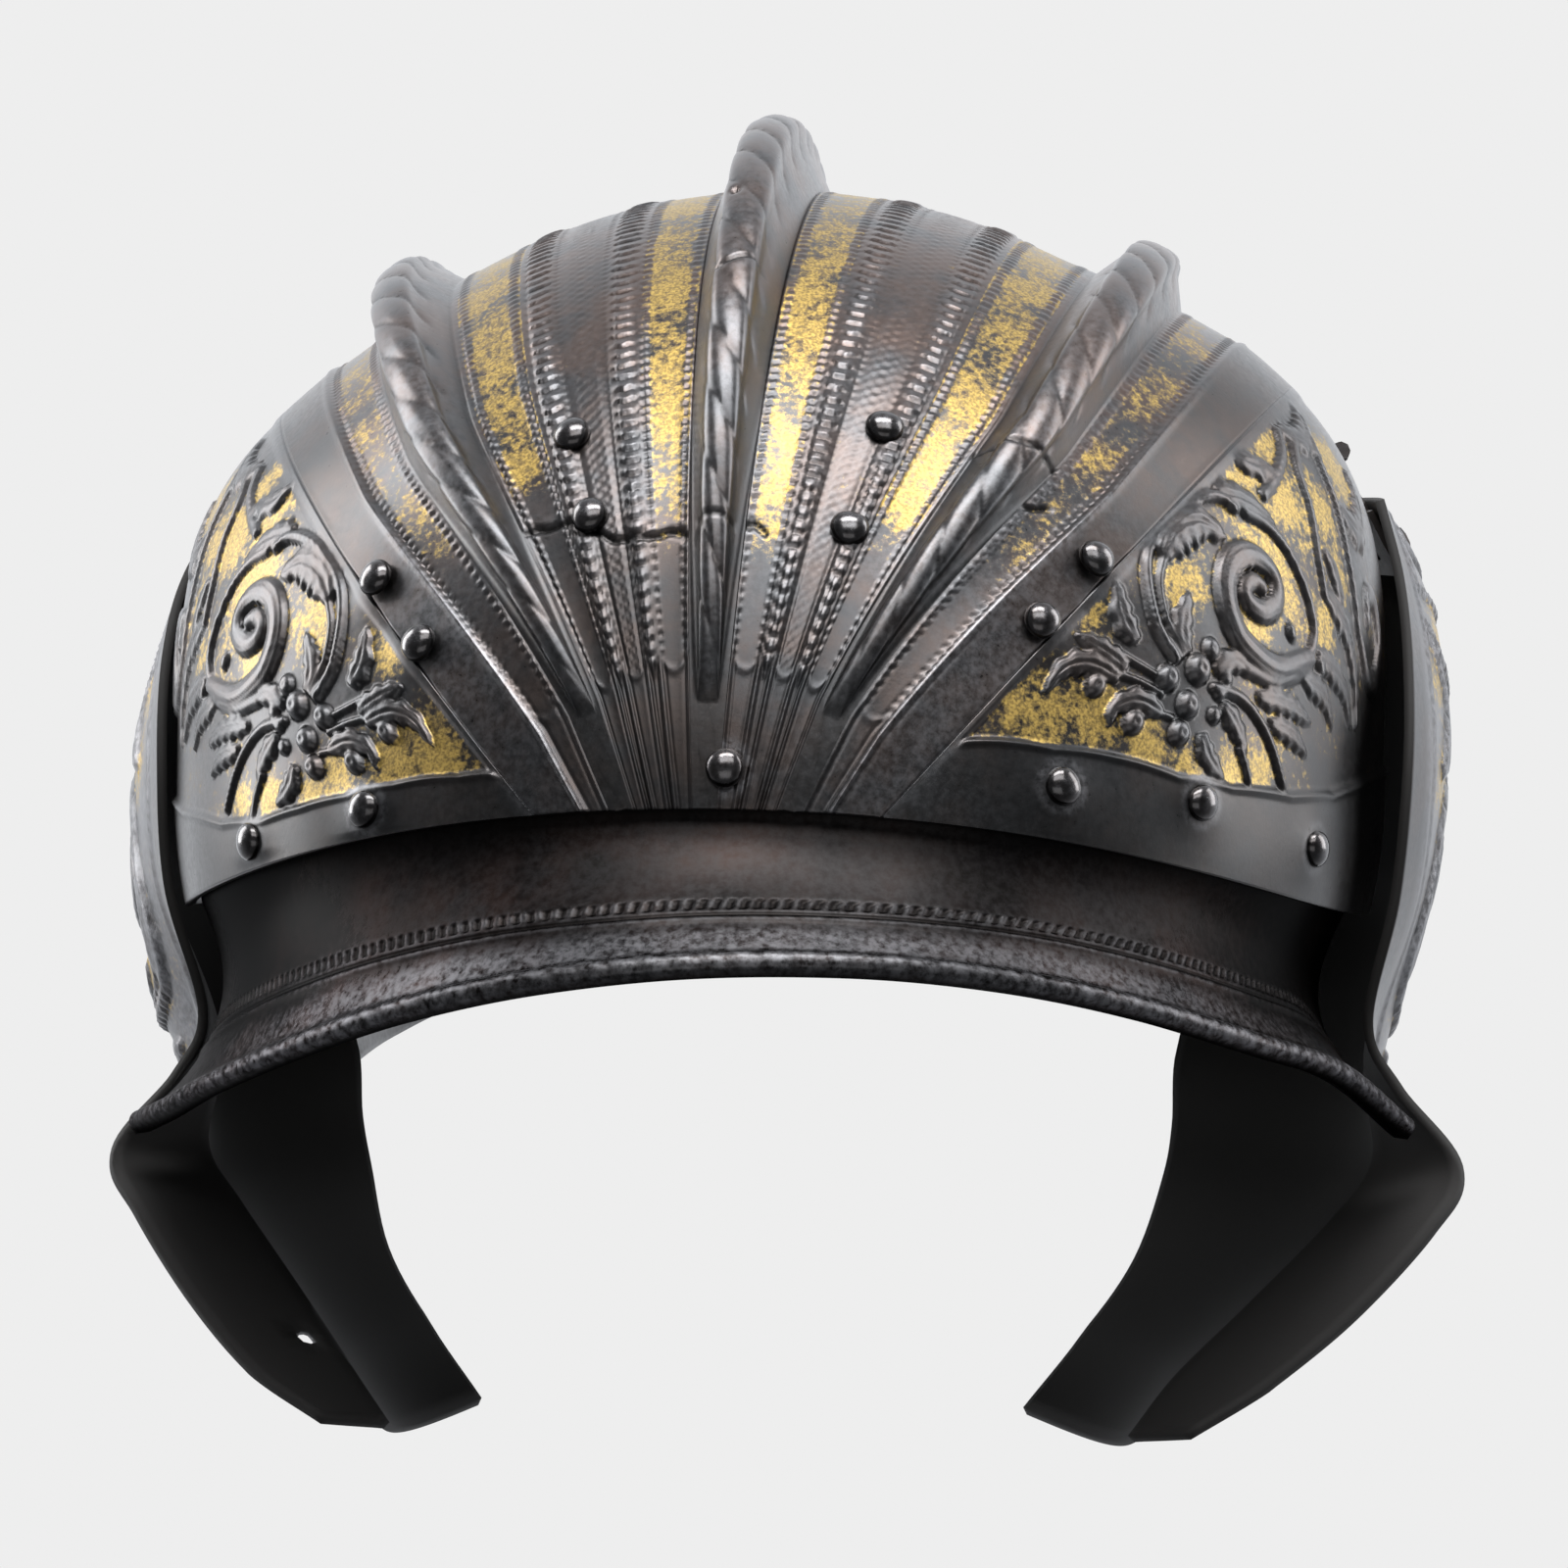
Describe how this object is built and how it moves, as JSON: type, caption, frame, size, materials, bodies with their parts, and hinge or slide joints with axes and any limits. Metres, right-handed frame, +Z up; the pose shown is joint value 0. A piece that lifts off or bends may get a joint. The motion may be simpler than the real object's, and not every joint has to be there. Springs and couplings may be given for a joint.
{
  "type": "parade helmet",
  "caption": "Open parade helmet with roped combs, embossed and gilt bands, a roped peak, a neck guard and hinged cheekpieces.",
  "frame": {"origin": "middle of the skull at the level where its fan of bands meets, the seat of the wearer's head", "axes": "+Z up to the combs, -Y the way the face looks, +X to the right as seen from the front"},
  "size_m": [0.2144, 0.2718, 0.2058],
  "materials": {
    "skull_steel": "browned embossed steel with worn gilding",
    "plate_steel": "dark browned steel with traces of gilding",
    "rivet_steel": "dark polished domed steel"
  },
  "bodies": {
    "helmet": {"peak": "skull_steel", "neck_guard": "plate_steel", "brow_rivet_1": "rivet_steel", "brow_rivet_2": "rivet_steel", "brow_rivet_3": "rivet_steel", "brow_rivet_4": "rivet_steel", "brow_rivet_5": "rivet_steel", "brow_rivet_6": "rivet_steel", "band_rivet_1": "rivet_steel", "band_rivet_2": "rivet_steel", "band_rivet_3": "rivet_steel", "band_rivet_4": "rivet_steel", "band_rivet_5": "rivet_steel", "band_rivet_6": "rivet_steel", "band_rivet_7": "rivet_steel", "band_rivet_8": "rivet_steel", "neck_rivet_1": "rivet_steel", "neck_rivet_2": "rivet_steel", "neck_rivet_3": "rivet_steel", "neck_rivet_4": "rivet_steel", "neck_rivet_5": "rivet_steel", "neck_rivet_6": "rivet_steel", "neck_rivet_7": "rivet_steel", "neck_rivet_8": "rivet_steel", "skull": "skull_steel", "hinge_skull_leaf_left": "plate_steel", "hinge_pin_left": "rivet_steel", "hinge_rivet_skull_left": "rivet_steel", "hinge_skull_leaf_right": "plate_steel", "hinge_pin_right": "rivet_steel", "hinge_rivet_skull_right": "rivet_steel"},
    "cheek_left": {"cheekpiece_left": "plate_steel", "hinge_cheek_leaf_left": "plate_steel", "hinge_rivet_cheek_left": "rivet_steel"},
    "cheek_right": {"cheekpiece_right": "plate_steel", "hinge_cheek_leaf_right": "plate_steel", "hinge_rivet_cheek_right": "rivet_steel"}
  },
  "joints": [
    {"name": "cheek_left_hinge", "type": "hinge", "parent": "helmet", "child": "cheek_left", "pos_m": [-0.08493, 0.03076, 0.07719], "axis": [0.2089, 0.9591, -0.1908], "range_deg": [0, 70]},
    {"name": "cheek_right_hinge", "type": "hinge", "parent": "helmet", "child": "cheek_right", "pos_m": [0.08679, 0.03083, 0.07858], "axis": [0.2317, -0.9495, 0.2116], "range_deg": [0, 70]}
  ]
}
